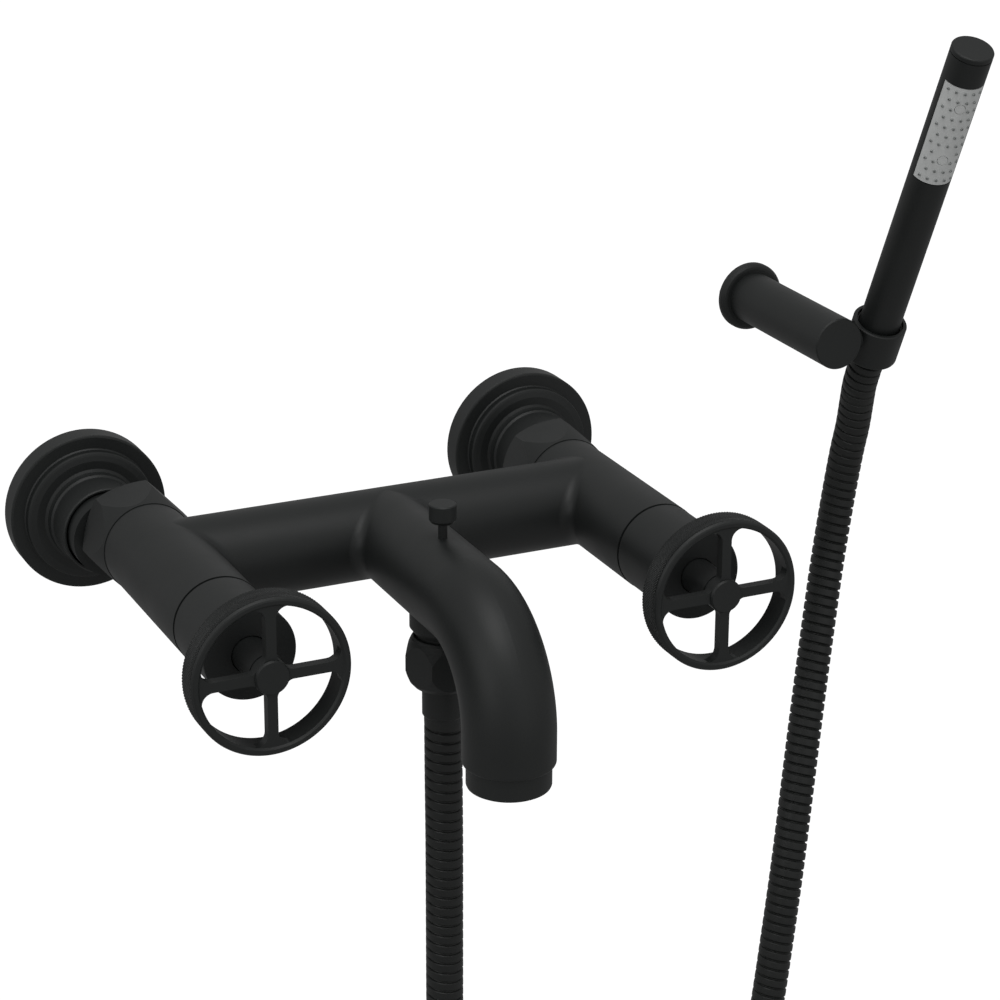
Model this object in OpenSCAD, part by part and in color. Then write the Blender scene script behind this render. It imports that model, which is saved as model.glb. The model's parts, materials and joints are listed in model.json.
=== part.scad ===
// Exposed wall mounted bath filler with a curved spout, two wheel valves, a pull-up
// diverter and a slim hand shower on a wall bracket.
// Frame: origin midway between the two supply inlets on the finished wall,
// +X to the right along the cross tube, +Y into the wall, +Z up. Millimetres.

/* [Overall] */
// Distance between the two supply inlets in the wall
inlet_spacing = 200; // [190:1:260]
// Sideways step from each supply inlet to its valve
union_shift = 7; // [4:0.5:8]
// Height of the valve axes above the inlets
valve_rise = 3.5; // [0:0.5:4]
// Reach of the spout outlet from the wall
spout_reach = 208.6; // [205:0.1:252]
// Distance of the cross tube centre from the wall
cross_reach = 88.8; // [86:0.5:98]

/* [Tubes] */
// Outer diameter of the two valve barrels
barrel_d = 36.8; // [34:0.2:44]
// Wall of the cross tube and the spout
tube_wall = 3; // [2:0.25:4]
// Radius of the spout bend on its centre line
bend_r = 39; // [32:0.5:44]
// Straight drop of the spout below its bend
spout_drop = 12; // [8:1:40]

/* [Wall side] */
// Outer diameter of the escutcheons
escutcheon_d = 66.6; // [60:0.2:72]
// Depth of the escutcheon rim
rim_depth = 10; // [6:0.5:12]
// Diameter of the pipe thread that enters the wall
thread_d = 20.96; // [20.9:0.01:21]
// Length of pipe thread behind the wall face
thread_len = 18; // [12:1:24]
// Width across flats of the union nuts
nut_flats = 38; // [37:0.5:40]
// Distance of the back of the union nuts from the wall
nut_back = 42.5; // [40:0.5:43]
// Length of the union nuts
nut_len = 24; // [23:0.5:28]

/* [Valves] */
// Distance of the seam between barrel and front sleeve from the wall
seam_reach = 149.6; // [140:0.2:156]
// Distance of the sleeve's front face from the wall
sleeve_reach = 183; // [178:0.5:186]
// Diameter of the handle stems
stem_d = 14; // [12:0.5:16]
// Diameter of the spindles
spindle_d = 9.8; // [8:0.2:10]
// Outer diameter of the wheel handles
wheel_d = 61.9; // [56:0.1:70]
// Depth of the wheel handles
wheel_depth = 11.3; // [10:0.1:14]
// Distance of the front of the wheels from the wall
wheel_reach = 206.3; // [204:0.1:212]
// Width of the wheel spokes
spoke_w = 4; // [3:0.25:6]

/* [Diverter and hose outlet] */
// Distance of the diverter axis from the wall
diverter_reach = 147; // [142:0.5:150]
// Travel of the diverter knob
diverter_lift = 6; // [4:0.5:6]
// Diameter of the diverter knob
knob_d = 10.8; // [9:0.2:14]
// Height of the diverter knob
knob_h = 7.5; // [7:0.1:12]
// Outer diameter of the flexible hose
hose_d = 15.4; // [13:0.1:15.8]

/* [Bracket and hand shower] */
// Sideways position of the bracket from the middle
bracket_x = 216.4; // [205:0.1:235]
// Height of the bracket above the inlets
bracket_z = 52.2; // [45:0.1:60]
// Diameter of the bracket flange
flange_d = 31; // [28:0.2:40]
// Diameter of the bracket post
post_d = 22.8; // [20:0.2:24]
// Length of the bracket post from the wall
post_len = 80; // [78:0.5:90]
// Tilt of the hand shower from upright
holder_tilt = 24; // [0:1:40]
// Wall of the holder sleeve
holder_wall = 1.6; // [1.2:0.1:3]
// Outer diameter of the hand shower
wand_d = 18; // [16:0.1:22]
// Length of the hand shower above its hose joint
wand_len = 147.4; // [120:0.2:220]
// Turn of the spray face about the hand shower's axis
spray_turn = 20; // [0:1:60]

/* [Hidden] */
$fn = 72;

// Colours
black = "#1b1d1d";
brass = "#b08d4a";
steel = "#b9bcbe";
ceramic = "#e8e6e0";
rubber = "#2a2a2a";
acetal = "#d8d8d4";
silicone = "#6f7473";

// Shared clearances
gap = 0.3;       // between parts that move past each other
run = 0.06;      // radial running clearance of spindles, rods and pins
seam = 0.7;      // visible dark seam between two fixed covers

// Places that follow from the sizes above
inlet_x = inlet_spacing / 2;
valve_x = inlet_x - union_shift;
barrel_r = barrel_d / 2;
tube_r = barrel_r - 0.3;            // the cross tube and the spout run just inside the barrels
bore_r = tube_r - tube_wall;
thread_r = thread_d / 2;
nut_front = nut_back + nut_len;
union_r = 13.2;                     // radius of the union thread
tail_r = 10.8;                      // radius of the inlet tail
tail_bore = 7.5;
tail_flange = 2.5;                  // thickness of the tail's captive flange
union_face = nut_back + 14.5;       // sealing face of the wall union
washer_t = 2;
tail_start = union_face + washer_t;
tail_depth = 12;                    // thread of the tail inside the barrel
seat_y = nut_front + tail_depth + 4; // valve seat in the barrel
spigot_r = barrel_r - 2.5;          // thread that the front sleeve screws on
chamber_r = spigot_r - 1.6;         // bore of the barrel ahead of the seat
cartridge_r = chamber_r - 0.8;
seal_t = 2.4;
disc_r = chamber_r - 4;
disc_t = 3;
disc_y = seat_y + seal_t;
spigot_len = 7;                     // barrel spigot that the front sleeve screws on
stem_hole_r = stem_d / 2 + 0.4;
stem_r = stem_d / 2;
spindle_r = spindle_d / 2;
wheel_r = wheel_d / 2;
wheel_back = wheel_reach - wheel_depth;
lip_t = 1.9;                        // smooth lip in front of the knurled ring
spoke_t = 4;
hub_proud = 0.5;

bend_y = spout_reach - bend_r;
spout_end = valve_rise - bend_r - spout_drop;
rod_r = 1.8;
top_z = valve_rise + tube_r;        // top of the spout tube
knob_z = top_z + 6.7;               // underside of the knob at rest
rod_grip = 5;                       // length of rod inside the knob
port_z = valve_rise - bore_r + 3.3; // top of the hose port inside the spout
plunger_washer = 2;
plunger_t = 3;
plunger_top = port_z + 2 * plunger_washer + plunger_t;
plate_z = plunger_top + diverter_lift; // underside of the partition plate
stub_z = valve_rise - tube_r - 0.4; // where the plain stub starts to taper
stub_taper = 2.4;
outlet_end = stub_z - 15.3;
hose_nut_top = stub_z - 4;
hose_nut_end = hose_nut_top - 22;
hose_r = hose_d / 2;
ferrule_r = hose_r + 0.7;
ferrule_len = 15;
ferrule_end = hose_nut_end - ferrule_len;

post_r = post_d / 2;
wand_r = wand_d / 2;
holder_bore = wand_r + 1.35;
holder_r = holder_bore + holder_wall;
pivot_back = 8.5;                   // pivot behind the post's front face
pivot_y = post_len - pivot_back;
holder_gap = 0.55;                  // thickness of the pivot washer
holder_x = bracket_x + post_r + holder_gap + holder_r;
pivot_r = 2.5;
boss_r = 6;
sleeve_top = 6.5;                   // ends of the holder sleeve above and below its pivot
sleeve_low = -12;
ledge_w = -10.5;                    // where the hose collar sits
joint_w = 3;                        // where the wand meets the hose collar
wand_top = joint_w + wand_len;
cap_t = 2.3;
cap_seam = 0.25;                    // dark line between the cap and the tube
plate_top = wand_top - 13.9;
plate_low = wand_top - 63;
plate_half = 69;                    // half angle that the spray face covers

// Route of the free hose, from the diverter outlet down round its loop and up to the hand
// shower. It hangs between its two ends.
hose_points = [
    [0, -147, -56], [0.1, -147, -80], [0.3, -147, -110], [0.3, -147, -150],
    [0.3, -147, -200], [0.3, -147, -255], [0.3, -147, -310], [0.6, -146.8, -365],
    [1, -146.4, -418], [2, -146, -463], [4, -145, -505], [9, -144, -532],
    [22.5, -140.5, -556], [44, -135, -574], [70, -128.5, -583.5], [98, -121.5, -583.5],
    [124, -115, -574], [145.5, -109.5, -556], [159, -106, -532], [164, -104.5, -505],
    [166.5, -104, -460], [169.3, -103, -415], [172.9, -101, -368], [177.7, -98, -315],
    [183.2, -94.8, -274], [190, -90.8, -238], [197.9, -85.2, -199.3], [206, -77.5, -165.2],
    [213.8, -69.5, -135.3], [221, -62.2, -109.2], [227.2, -56.2, -86.5], [232.2, -51.6, -67.6],
    [236, -48.7, -52.4], [239.2, -47.3, -36], [241.2, -47.3, -22.6], [242.3, -48.9, -9.5],
    [242.6, -52.1, 3.1], [241.6, -56, 15.7], [240.6, -59.4, 24.9], [240.3, -63.36, 33.93],
    [240.3, -67.21, 42.56]
];
hose_sides = 10;

// Ring of points round a path point, square to the path there
function unit(v) = v / norm(v);
function along(p, i) =
    unit(p[min(i + 1, len(p) - 1)] - p[max(i - 1, 0)]);
function side_of(t) = unit(cross(t, abs(t.x) > 0.9 ? [0, 1, 0] : [1, 0, 0]));
// The frame is carried from ring to ring, so that the tube doesn't twist
function carried(p, i, u) = unit(u - (u * along(p, i)) * along(p, i));
function frames(p, i = 0, u = undef, out = []) =
    i == len(p) ? out :
    let (v = is_undef(u) ? side_of(along(p, i)) : carried(p, i, u))
    frames(p, i + 1, v, concat(out, [v]));
// Catmull-Rom points between the chosen ones
function spline_at(a, b, c, d, t) =
    0.5 * ((2 * b) + (c - a) * t + (2 * a - 5 * b + 4 * c - d) * t * t
    + (3 * b - a - 3 * c + d) * t * t * t);
function smooth(p, n) = concat(
    [for (i = [0:len(p) - 2]) for (k = [0:n - 1])
        spline_at(p[max(i - 1, 0)], p[i], p[i + 1], p[min(i + 2, len(p) - 1)], k / n)],
    [p[len(p) - 1]]);
module tube_along(p, r, sides) {
    us = frames(p);
    rings = [for (i = [0:len(p) - 1])
        let (t = along(p, i), u = us[i], v = cross(t, u))
        for (k = [0:sides - 1]) p[i] + r * (cos(360 * k / sides) * u + sin(360 * k / sides) * v)];
    last = (len(p) - 1) * sides;
    polyhedron(
        points = rings,
        faces = concat(
            [[for (k = [0:sides - 1]) k]],
            [for (i = [0:len(p) - 2]) for (k = [0:sides - 1])
                let (a = i * sides + k, b = i * sides + (k + 1) % sides)
                [a, a + sides, b + sides, b]],
            [[for (k = [sides - 1:-1:0]) last + k]]));
}

// Children are drawn with +Z pointing out of the wall
module out_of_wall(x, z) {
    translate([x, 0, z]) rotate([90, 0, 0]) children();
}
module at_inlet(side) { out_of_wall(side * inlet_x, 0) children(); }
module at_valve(side) { out_of_wall(side * valve_x, valve_rise) children(); }
// A plain ring or bush from height a to height b
module ring(r_out, r_in, a, b) {
    difference() {
        translate([0, 0, a]) cylinder(r = r_out, h = b - a);
        translate([0, 0, a - 1]) cylinder(r = r_in, h = b - a + 2);
    }
}

// --- Wall side ---------------------------------------------------------------

hub_r = 18.4;
hub_depth = 34;
hub_hole_r = 17.3;
module escutcheon(side) {
    r = escutcheon_d / 2;
    step_r = r - 6;
    dish = 14.6;
    color(black) at_inlet(side) rotate_extrude() polygon([
        [r - 2.2, 0], [r - 0.3, 0], [r, 0.4], [r, rim_depth - 0.7], [r - 0.3, rim_depth - 0.2],
        [r - 0.9, rim_depth], [step_r + 0.5, rim_depth], [step_r, rim_depth + 0.5],
        [step_r, dish - 1.1], [step_r - 0.4, dish - 0.3], [step_r - 1.2, dish],
        [step_r - 3.4, dish + 0.5], [hub_r + 2.2, dish + 0.5], [hub_r + 1.1, dish + 1.2],
        [hub_r + 0.8, dish + 2.4], [hub_r + 0.8, dish + 4.2], [hub_r, dish + 5],
        [hub_r, hub_depth - 0.5], [hub_r - 0.5, hub_depth], [hub_hole_r, hub_depth],
        [hub_hole_r, dish - 1.5], [step_r - 2, dish - 1.5], [step_r - 2, rim_depth - 2],
        [r - 2.2, rim_depth - 2]
    ]);
}

union_body_r = 16.4;
union_shoulder = nut_back - 1;
stop_r = 26;                        // stop flange that the escutcheon hides
stop_t = 3;
waterway_r = 7;
module s_union(side) {
    lean = [-side * union_shift, valve_rise, 0];
    color(black) at_inlet(side) difference() {
        union() {
            translate([0, 0, -thread_len]) cylinder(r = thread_r, h = thread_len + 1);
            translate([0, 0, 0.6]) cylinder(r = union_body_r, h = union_shoulder - 0.6);
            translate([0, 0, stop_t]) cylinder(r = stop_r, h = stop_t);
            translate(lean) translate([0, 0, union_shoulder - 4])
                cylinder(r = union_r, h = union_face - union_shoulder + 4);
        }
        translate([0, 0, -thread_len - 1]) cylinder(r = waterway_r, h = thread_len + union_shoulder - 3);
        translate(lean) translate([0, 0, union_shoulder - 10]) cylinder(r = waterway_r + 1, h = 40);
    }
}

module union_nut(side) {
    corner_r = nut_flats / sqrt(3);
    color(black) at_valve(side) difference() {
        intersection() {
            translate([0, 0, nut_back]) rotate([0, 0, 13]) cylinder(r = corner_r, h = nut_len, $fn = 6);
            rotate_extrude() polygon([
                [0, nut_back], [nut_flats / 2 - 0.5, nut_back], [corner_r + 0.1, nut_back + 4],
                [corner_r + 0.1, nut_front - 13], [nut_flats / 2 - 0.3, nut_front], [0, nut_front]
            ]);
        }
        translate([0, 0, nut_back - 1]) cylinder(r = union_r, h = tail_start + tail_flange - nut_back + 1);
        translate([0, 0, nut_back]) cylinder(r = tail_r + 0.2, h = nut_len + 1);
    }
}

module union_washers() {
    color(rubber) for (side = [-1, 1])
        at_valve(side) ring(union_r - 0.4, 8, union_face, union_face + washer_t);
}

module inlet_tail(side) {
    color(brass) at_valve(side) difference() {
        union() {
            translate([0, 0, tail_start]) cylinder(r = union_r - 0.2, h = tail_flange);
            translate([0, 0, tail_start]) cylinder(r = tail_r, h = nut_front + tail_depth - tail_start);
        }
        translate([0, 0, tail_start - 1])
            cylinder(r = tail_bore, h = nut_front + tail_depth - tail_start + 2);
    }
}

// --- Valves ------------------------------------------------------------------

module valve_barrel(side) {
    color(black) difference() {
        at_valve(side) difference() {
            union() {
                translate([0, 0, nut_front + 0.2])
                    cylinder(r = barrel_r, h = seam_reach - nut_front - 0.2);
                translate([0, 0, seam_reach - 1]) cylinder(r = spigot_r, h = spigot_len + 1);
            }
            translate([0, 0, nut_front - 1]) cylinder(r = tail_r, h = tail_depth + 1);
            translate([0, 0, nut_front]) cylinder(r = tail_bore, h = seat_y - nut_front + 1);
            translate([0, 0, seat_y]) cylinder(r = chamber_r, h = seam_reach + spigot_len);
        }
        side_port(side);
    }
}
// Waterway between the valve chamber and the cross tube
port_r = 9;
port_y = cross_reach + 4;
module side_port(side) {
    translate([0, -port_y, valve_rise]) rotate([0, side * 90, 0])
        cylinder(r = port_r, h = valve_x);
}

cartridge_end = seam_reach + spigot_len - 2;
o_ring_levels = [14, 40];           // distances of the O-ring grooves ahead of the fixed disc
o_ring_t = 1.9;
module cartridge(side) {
    color(brass) at_valve(side) difference() {
        union() {
            translate([0, 0, disc_y + disc_t]) cylinder(r = cartridge_r, h = 22);
            translate([0, 0, disc_y]) ring(cartridge_r, disc_r, 0, disc_t + 1);
            translate([0, 0, disc_y + disc_t + 20]) cylinder(r = chamber_r, h = 16);
            translate([0, 0, disc_y + disc_t + 30])
                cylinder(r = cartridge_r - 2.2, h = cartridge_end - disc_y - disc_t - 30);
            translate([0, 0, cartridge_end - 8]) cylinder(r = chamber_r - 0.3, h = 8);
        }
        translate([0, 0, disc_y + disc_t - 1]) cylinder(r = disc_r + gap, h = disc_t + 6);
        translate([0, 0, disc_y]) cylinder(r = spindle_r + run, h = cartridge_end);
        for (level = o_ring_levels) translate([0, 0, disc_y + level])
            cylinder(r = spindle_r + o_ring_t, h = o_ring_t);
        for (turn = [0, 180]) rotate([0, 0, turn]) translate([0, -3.5, disc_y + disc_t + 1.5])
            cube([20, 7, 5]);
    }
}
module spindle_o_rings() {
    color(rubber) for (side = [-1, 1]) at_valve(side)
        for (level = o_ring_levels) translate([0, 0, disc_y + level + o_ring_t / 2]) rotate_extrude()
            translate([spindle_r + run + 0.93, 0]) circle(r = 0.9, $fn = 24);
}
module cartridge_seals() {
    color(rubber) for (side = [-1, 1])
        at_valve(side) ring(chamber_r - 1, disc_r - 2.1, seat_y, seat_y + seal_t);
}
// Each ceramic disc has two quarter ports that the other one covers or clears
module ported_disc(start, r) {
    difference() {
        translate([0, 0, start]) cylinder(r = r, h = disc_t);
        for (turn = [0, 180]) rotate([0, 0, turn]) translate([4.8, 0, start - 1])
            cylinder(r = 2.6, h = disc_t + 2);
    }
}
module fixed_discs() {
    color(ceramic) for (side = [-1, 1]) at_valve(side) ported_disc(disc_y, disc_r);
}
module moving_disc(side) {
    color(ceramic) at_valve(side) rotate([0, 0, 90]) ported_disc(disc_y + disc_t, disc_r);
}
stem_start = seam_reach + spigot_len + 4;
grub_reach = sleeve_reach + 6;      // grub screw that holds the stem on its spindle
grub_r = 1.65;
spindle_start = disc_y + 2 * disc_t;
spindle_end = wheel_reach - 12;
module spindle(side) {
    color(brass) at_valve(side) {
        translate([0, 0, spindle_start]) cylinder(r = spindle_r, h = spindle_end - spindle_start);
        translate([0, 0, spindle_start]) cylinder(r = disc_r - 0.6, h = 1.4);
    }
}
module handle_stem(side) {
    stem_end = wheel_reach - 6;
    color(black) at_valve(side) difference() {
        translate([0, 0, stem_start]) cylinder(r = stem_r, h = stem_end - stem_start);
        translate([0, 0, stem_start - 1]) cylinder(r = spindle_r, h = spindle_end - stem_start + 1);
        translate([0, -spindle_r, grub_reach]) rotate([90, 0, 0]) cylinder(r = grub_r, h = stem_r);
    }
}
module handle_screw(side) {
    color(steel) at_valve(side) translate([0, -spindle_r, grub_reach]) rotate([90, 0, 0])
        difference() {
            cylinder(r = grub_r, h = stem_r - spindle_r - 0.3);
            translate([0, 0, 0.8]) cylinder(r = 0.9, h = 3, $fn = 6);
        }
}
module valve_sleeve(side) {
    r = barrel_r - 0.2;
    front_wall = 3;
    color(black) at_valve(side) difference() {
        rotate_extrude() polygon([
            [0, seam_reach + seam], [r - 0.3, seam_reach + seam], [r, seam_reach + seam + 0.3],
            [r, sleeve_reach - 0.7], [r - 0.2, sleeve_reach - 0.2], [r - 0.7, sleeve_reach],
            [0, sleeve_reach]
        ]);
        translate([0, 0, seam_reach]) cylinder(r = spigot_r, h = spigot_len);
        translate([0, 0, seam_reach])
            cylinder(r = spigot_r - 3.4, h = sleeve_reach - seam_reach - front_wall);
        translate([0, 0, seam_reach]) cylinder(r = stem_hole_r, h = 60);
    }
}

// --- Wheel handles -----------------------------------------------------------

ring_wall = 1.7;
band_end = wheel_reach - lip_t;
inner_wall = 1.4;
module knurled_ring(side) {
    color(black) at_valve(side) rotate_extrude() polygon([
        [wheel_r - ring_wall, wheel_back], [wheel_r - 0.5, wheel_back], [wheel_r, wheel_back + 0.5],
        [wheel_r, band_end - 0.7], [wheel_r - 0.5, band_end - 0.3], [wheel_r - 0.5, band_end],
        [wheel_r - ring_wall, band_end]
    ]);
}
module wheel(side) {
    r = wheel_r - ring_wall;
    inner = r - inner_wall;
    spoke_front = wheel_reach - 0.7;
    hub_r = stem_r - 0.3;
    color(black) at_valve(side) {
        rotate_extrude() polygon([
            [inner, wheel_back + 0.4], [r, wheel_back + 0.4], [r, band_end], [wheel_r - 0.9, band_end],
            [wheel_r - 0.2, band_end + 0.3], [wheel_r - 0.1, band_end + 0.8],
            [wheel_r - 0.6, wheel_reach - 0.3], [wheel_r - 1.2, wheel_reach],
            [wheel_r - 2.5, wheel_reach], [inner - 0.2, wheel_reach - 0.7],
            [inner - 0.2, wheel_reach - 2.4]
        ]);
        for (turn = [0, 90]) rotate([0, 0, turn])
            translate([-inner - 0.3, -spoke_w / 2, spoke_front - spoke_t])
                cube([2 * inner + 0.6, spoke_w, spoke_t]);
        translate([0, 0, spoke_front - spoke_t]) linear_extrude(spoke_t)
            for (turn = [0:90:270]) rotate([0, 0, turn]) {
                spoke_webs(inner, hub_r);
                mirror([0, 1, 0]) spoke_webs(inner, hub_r);
            }
        translate([0, 0, wheel_reach - 6]) rotate_extrude() polygon([
            [0, 0], [hub_r, 0], [hub_r, 5.7], [hub_r - 0.5, 6 + hub_proud], [0, 6 + hub_proud]
        ]);
    }
}
// Webs that round the corners between a spoke and the hub, and between it and the rim
rim_fillet = 4.5;
hub_fillet = 3;
module spoke_webs(inner, hub_r) {
    hub_side = spoke_w / 2 + hub_fillet;
    at_hub = [sqrt(pow(hub_r + hub_fillet, 2) - pow(hub_side, 2)), hub_side];
    difference() {
        polygon([[0, 0], [at_hub.x, 0], at_hub]);
        translate(at_hub) circle(r = hub_fillet, $fn = 48);
    }
    rim_side = spoke_w / 2 + rim_fillet;
    at_rim = [sqrt(pow(inner - rim_fillet, 2) - pow(rim_side, 2)), rim_side];
    past = inner + 0.6;
    difference() {
        polygon([[at_rim.x, 0], [past, 0], at_rim * past / norm(at_rim), at_rim]);
        translate(at_rim) circle(r = rim_fillet, $fn = 48);
    }
}

// --- Cross tube and spout ------------------------------------------------------

module along_x(r, h) {
    translate([0, -cross_reach, valve_rise]) rotate([0, 90, 0]) cylinder(r = r, h = h, center = true);
}
module cross_tube() {
    color(black) difference() {
        along_x(tube_r, 2 * valve_x);
        along_x(bore_r, 2 * valve_x + 2);
        for (side = [-1, 1]) at_valve(side) translate([0, 0, 40]) cylinder(r = barrel_r, h = 100);
        translate([0, -cross_reach, valve_rise]) rotate([90, 0, 0]) cylinder(r = bore_r, h = tube_r + 2);
    }
}
// The spout's centre line: straight out, a quarter bend, then straight down
module spout_form(r, lead, tail) {
    translate([0, -cross_reach + lead, valve_rise]) rotate([90, 0, 0])
        cylinder(r = r, h = bend_y - cross_reach + lead);
    translate([0, -bend_y, valve_rise - bend_r]) rotate([0, -90, 0]) rotate([0, 0, -90])
        rotate_extrude(angle = 90) translate([bend_r, 0]) circle(r = r);
    translate([0, -spout_reach, spout_end - tail]) cylinder(r = r, h = spout_drop + tail);
}
module spout() {
    lip = 1.6;
    color(black) difference() {
        spout_form(tube_r, 0, 0);
        spout_form(bore_r, 0, 1);
        along_x(tube_r, 80);
        translate([0, -spout_reach, spout_end]) rotate_extrude() difference() {
            translate([tube_r - lip, -1]) square([lip + 1, lip + 1]);
            translate([tube_r - lip, lip]) circle(r = lip, $fn = 48);
        }
        translate([0, -diverter_reach, valve_rise]) cylinder(r = rod_r + run, h = tube_r + 1);
        translate([0, -diverter_reach, valve_rise - tube_r - 1]) cylinder(r = stub_r, h = tube_r);
    }
}

aerator_r = tube_r - 1.65;
aerator_h = 9.3;
mouth_r = bore_r - 1.5;             // mouth of the aerator housing
insert_r = mouth_r - 1;
module aerator_housing() {
    color(black) translate([0, -spout_reach, spout_end]) difference() {
        union() {
            cylinder(r = bore_r, h = 7);
            rotate_extrude() polygon([
                [0, 0], [aerator_r, 0], [aerator_r, -aerator_h + 1.1],
                [aerator_r - 0.3, -aerator_h + 0.4], [aerator_r - 1, -aerator_h], [0, -aerator_h]
            ]);
        }
        translate([0, 0, -aerator_h - 1]) cylinder(r = mouth_r - 1.6, h = 20);
        translate([0, 0, -aerator_h - 1]) cylinder(r = mouth_r, h = 3.5);
        translate([0, 0, -aerator_h + 4.5]) cylinder(r = mouth_r - 0.9, h = 20);
    }
}
module aerator_insert() {
    pitch = insert_r / 3.15;
    base = spout_end - aerator_h + 4.5;
    color(acetal) translate([0, -spout_reach, base]) difference() {
        cylinder(r = insert_r, h = 8);
        translate([0, 0, 2]) cylinder(r = insert_r - 1.2, h = 4.5);
        for (row = [-2:2], col = [-2:2]) if (row * row + col * col < 7)
            translate([row * pitch, col * pitch, -1]) cylinder(r = 0.375 * pitch, h = 12, $fn = 24);
    }
}
module aerator_washer() {
    color(rubber) translate([0, -spout_reach, spout_end - aerator_h + 12.5])
        ring(insert_r - 0.1, insert_r - 3.1, 0, 2);
}

// --- Diverter ------------------------------------------------------------------

stub_r = 13.2;
stub_neck_r = 11.4;
outlet_bore = 6.5;
module at_diverter() { translate([0, -diverter_reach, 0]) children(); }

module diverter_partition() {
    half = 15;
    plate_t = 3;
    color(brass) intersection() {
        translate([0, -diverter_reach, valve_rise]) rotate([90, 0, 0])
            cylinder(r = bore_r, h = 2 * half, center = true);
        at_diverter() difference() {
            union() {
                translate([-20, -half, plate_z]) cube([40, 2 * half, plate_t]);
                translate([-20, -half, -30]) cube([40, 2, 30 + plate_z + 1]);
                translate([-20, half - 2, plate_z]) cube([40, 2, 30]);
            }
            cylinder(r = 5.5, h = 30);
        }
    }
}
module diverter_gland() {
    color(brass) difference() {
        intersection() {
            at_diverter() translate([0, 0, valve_rise + bore_r - 5.5]) cylinder(r = 5, h = 8);
            translate([0, -diverter_reach, valve_rise]) rotate([90, 0, 0])
                cylinder(r = bore_r, h = 30, center = true);
        }
        at_diverter() cylinder(r = rod_r + run, h = 60);
    }
}
module hose_outlet() {
    color(black) at_diverter() difference() {
        union() {
            translate([0, 0, stub_z]) cylinder(r = stub_r, h = port_z - stub_z);
            translate([0, 0, stub_z - stub_taper]) cylinder(r1 = stub_neck_r, r2 = stub_r, h = stub_taper);
            translate([0, 0, outlet_end]) cylinder(r = thread_r, h = stub_z - outlet_end + 1);
        }
        translate([0, 0, outlet_end - 1]) cylinder(r = outlet_bore, h = port_z - outlet_end + 2);
    }
}
module diverter_knob() {
    r = knob_d / 2;
    color(black) at_diverter() translate([0, 0, knob_z]) difference() {
        rotate_extrude() polygon([
            [0, 0], [r - 0.8, 0], [r - 0.3, 0.7], [r, 1.2], [r, knob_h - 0.4],
            [r - 0.4, knob_h], [0, knob_h]
        ]);
        translate([0, 0, -1]) cylinder(r = rod_r, h = rod_grip + 1);
    }
}
module diverter_rod() {
    color(black) at_diverter() translate([0, 0, port_z + 1])
        cylinder(r = rod_r, h = knob_z + rod_grip - port_z - 1);
}
module diverter_plunger() {
    color(brass) at_diverter() difference() {
        union() {
            translate([0, 0, port_z + plunger_washer]) cylinder(r = 9.2, h = plunger_t);
            translate([0, 0, port_z + 0.4]) cylinder(r = 4, h = 2 * plunger_washer + plunger_t - 0.8);
        }
        cylinder(r = rod_r, h = 60, center = true);
    }
}
module diverter_washers() {
    color(rubber) at_diverter() for (level = [0, plunger_washer + plunger_t])
        translate([0, 0, port_z + level]) ring(8.8, 4, 0.05, plunger_washer - 0.05);
}

// --- Hose ----------------------------------------------------------------------

hose_nut_flats = 26.4;
insert_bore = 5;                    // bore of the inserts crimped into the hose's two ends
insert_flange_r = 9.6;
module hose_nut() {
    corner_r = hose_nut_flats / sqrt(3);
    h = hose_nut_top - hose_nut_end;
    color(black) at_diverter() translate([0, 0, hose_nut_end]) difference() {
        intersection() {
            rotate([0, 0, 50]) cylinder(r = corner_r, h = h, $fn = 6);
            rotate_extrude() polygon([
                [0, 0], [ferrule_r + 0.7, 0], [11.8, 1.2], [13.4, 3], [14.3, 5.2], [corner_r + 0.1, 8.5],
                [corner_r + 0.1, h - 8], [13.6, h - 3], [12.6, h - 0.9], [11.8, h], [0, h]
            ]);
        }
        translate([0, 0, -1]) cylinder(r = ferrule_r + 0.05, h = h + 2);
        translate([0, 0, 4]) cylinder(r = thread_r, h = h);
        translate([0, 0, h - 2.2]) cylinder(r = thread_r + 0.9, h = 3);
    }
}
module hose_washer() {
    color(rubber) at_diverter() ring(thread_r - 0.4, insert_bore + 0.5, outlet_end - 1.9, outlet_end);
}
// Crimped end of the hose: a flanged insert held by the nut, and the sleeve below it
module hose_ferrule() {
    color(black) at_diverter() difference() {
        union() {
            translate([0, 0, outlet_end - 3.9]) cylinder(r = insert_flange_r, h = 2);
            translate([0, 0, ferrule_end]) rotate_extrude() polygon([
                [0, 0], [hose_r - 0.1, 0], [hose_r - 0.1, 2.4], [ferrule_r, 3.4],
                [ferrule_r, outlet_end - 3 - ferrule_end], [0, outlet_end - 3 - ferrule_end]
            ]);
        }
        translate([0, 0, ferrule_end - 1]) cylinder(r = insert_bore, h = outlet_end - ferrule_end);
    }
}
module shower_hose() {
    color(black) tube_along(smooth(hose_points, 2), hose_r, hose_sides);
}

// --- Bracket -------------------------------------------------------------------

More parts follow.
